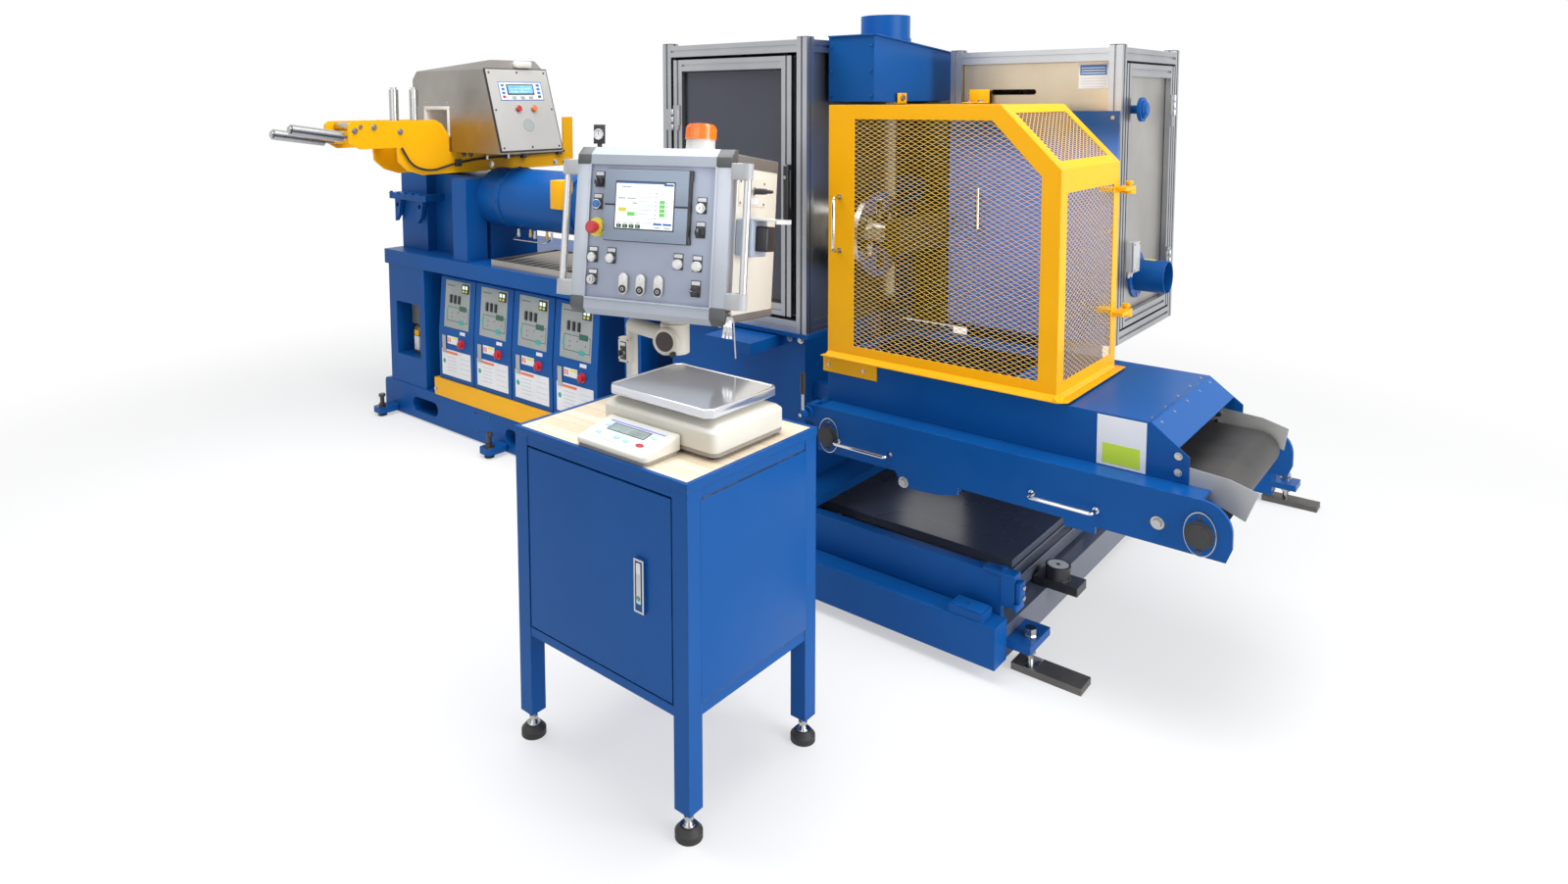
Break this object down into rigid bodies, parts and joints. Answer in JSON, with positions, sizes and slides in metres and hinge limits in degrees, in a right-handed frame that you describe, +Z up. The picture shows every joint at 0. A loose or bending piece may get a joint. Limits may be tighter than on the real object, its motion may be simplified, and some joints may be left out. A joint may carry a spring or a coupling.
{
  "type": "rubber preforming machine",
  "caption": "Rubber preforming machine: screw extruder with metal detector, guarded rotary cutter, take-off conveyor, control pendant and weigh station.",
  "frame": {"origin": "middle of the machine's overall length and depth, at floor level", "axes": "+X along the line from the extruder to the conveyor outlet, +Y away from the operator, +Z up"},
  "size_m": [4.44, 3.182, 2.06],
  "materials": {
    "blue_paint": "gloss enamel",
    "black_steel": "black, worn edges",
    "foot_rubber": "matte",
    "yellow_paint": "gloss enamel",
    "stainless": "brushed",
    "chrome": "polished",
    "aluminium": "anodised",
    "smoked_pane": "smoked",
    "olive_paint": "satin",
    "belt_rubber": "matte",
    "lever_plastic": "matte",
    "cream_paint": "powder coat",
    "cream_plastic": "satin moulding",
    "wood": "oiled board"
  },
  "bodies": {
    "machine": {"extruder_base": "blue_paint", "jacking_bolts": "black_steel", "grease_column": "blue_paint", "grease_pump": "black_steel", "temperature_units": "blue_paint", "kick_shelf": "yellow_paint", "table_frame": "blue_paint", "feed_housing": "blue_paint", "drive_barrel": "blue_paint", "catch_tray": "stainless", "feed_bracket": "yellow_paint", "metal_detector": "stainless", "detector_panel": "stainless", "roller_spindles": "chrome", "cutter_body": "blue_paint", "centre_frame": "aluminium", "centre_panels": "aluminium", "duct_tower": "blue_paint", "right_frame": "aluminium", "right_panels": "stainless", "right_face_panel": "blue_paint", "die_head": "stainless", "cutter_drive": "olive_paint", "guard_fixings": "yellow_paint", "hood": "blue_paint", "conveyor_frame": "blue_paint", "conveyor_belt": "belt_rubber", "belt_guides": "stainless", "lower_base": "blue_paint", "base_tray": "black_steel", "beam_stop": "black_steel", "foot_bars": "black_steel", "jack_screws": "chrome", "pendant_pedestal": "cream_paint", "weigh_cabinet": "blue_paint", "cabinet_top": "wood", "levelling_feet": "foot_rubber", "scale_body": "cream_plastic", "scale_platter": "stainless", "scale_indicator": "cream_plastic"},
    "centre_door": {"centre_door_frame": "aluminium", "centre_door_pane": "smoked_pane"},
    "right_door": {"right_door_frame": "aluminium", "right_door_sheet": "aluminium", "door_fittings": "blue_paint"},
    "guard": {"guard_frame": "yellow_paint", "guard_mesh": "yellow_paint"},
    "cutter": {"cutter_head": "stainless"},
    "cabinet_door": {"cabinet_door": "blue_paint"},
    "pendant": {"pendant_box": "cream_paint", "pendant_face": "aluminium"},
    "roller_left": {"feed_roller_left": "chrome"},
    "roller_right": {"feed_roller_right": "chrome"},
    "roller_cross": {"cross_roller": "chrome"},
    "roller_post_front": {"post_roller_front": "chrome"},
    "roller_post_rear": {"post_roller_rear": "chrome"},
    "lever": {"clamp_lever": "lever_plastic"}
  },
  "joints": [
    {"name": "centre_door_swing", "type": "hinge", "parent": "machine", "child": "centre_door", "pos_m": [0.063, -0.309, 1.4], "axis": [0, 0, -1], "range_deg": [0, 100]},
    {"name": "right_door_swing", "type": "hinge", "parent": "machine", "child": "right_door", "pos_m": [1.647, 0.84, 1.4], "axis": [0, 0, 1], "range_deg": [0, 100]},
    {"name": "guard_swing", "type": "hinge", "parent": "machine", "child": "guard", "pos_m": [1.695, 0.18, 1.2], "axis": [0, 0, 1], "range_deg": [0, 95]},
    {"name": "cutter_spin", "type": "hinge", "parent": "machine", "child": "cutter", "pos_m": [0.864, -0.061, 1.25], "axis": [1, 0, 0], "continuous": true},
    {"name": "cabinet_door_swing", "type": "hinge", "parent": "machine", "child": "cabinet_door", "pos_m": [0.7235, -1.581, 0.58], "axis": [0, 0, -1], "range_deg": [0, 110]},
    {"name": "pendant_swivel", "type": "hinge", "parent": "machine", "child": "pendant", "pos_m": [0.695, -0.971, 1.081], "axis": [0, 0, 1], "range_deg": [-12, 35]},
    {"name": "roller_left_spin", "type": "hinge", "parent": "machine", "child": "roller_left", "pos_m": [-1.763, -0.829, 1.557], "axis": [0, -0.9877, 0.1564], "continuous": true},
    {"name": "roller_right_spin", "type": "hinge", "parent": "machine", "child": "roller_right", "pos_m": [-1.589, -0.827, 1.581], "axis": [0, -0.9877, 0.1564], "continuous": true},
    {"name": "roller_cross_spin", "type": "hinge", "parent": "machine", "child": "roller_cross", "pos_m": [-1.765, -0.771, 1.629], "axis": [1, 0, 0], "continuous": true},
    {"name": "roller_post_front_spin", "type": "hinge", "parent": "machine", "child": "roller_post_front", "pos_m": [-1.605, -0.553, 1.7], "axis": [0, 0, 1], "continuous": true},
    {"name": "roller_post_rear_spin", "type": "hinge", "parent": "machine", "child": "roller_post_rear", "pos_m": [-1.605, -0.441, 1.7], "axis": [0, 0, 1], "continuous": true},
    {"name": "clamp_lever_swing", "type": "hinge", "parent": "machine", "child": "lever", "pos_m": [0.846, -0.483, 0.667], "axis": [0, 1, 0], "range_deg": [-30, 30]}
  ]
}
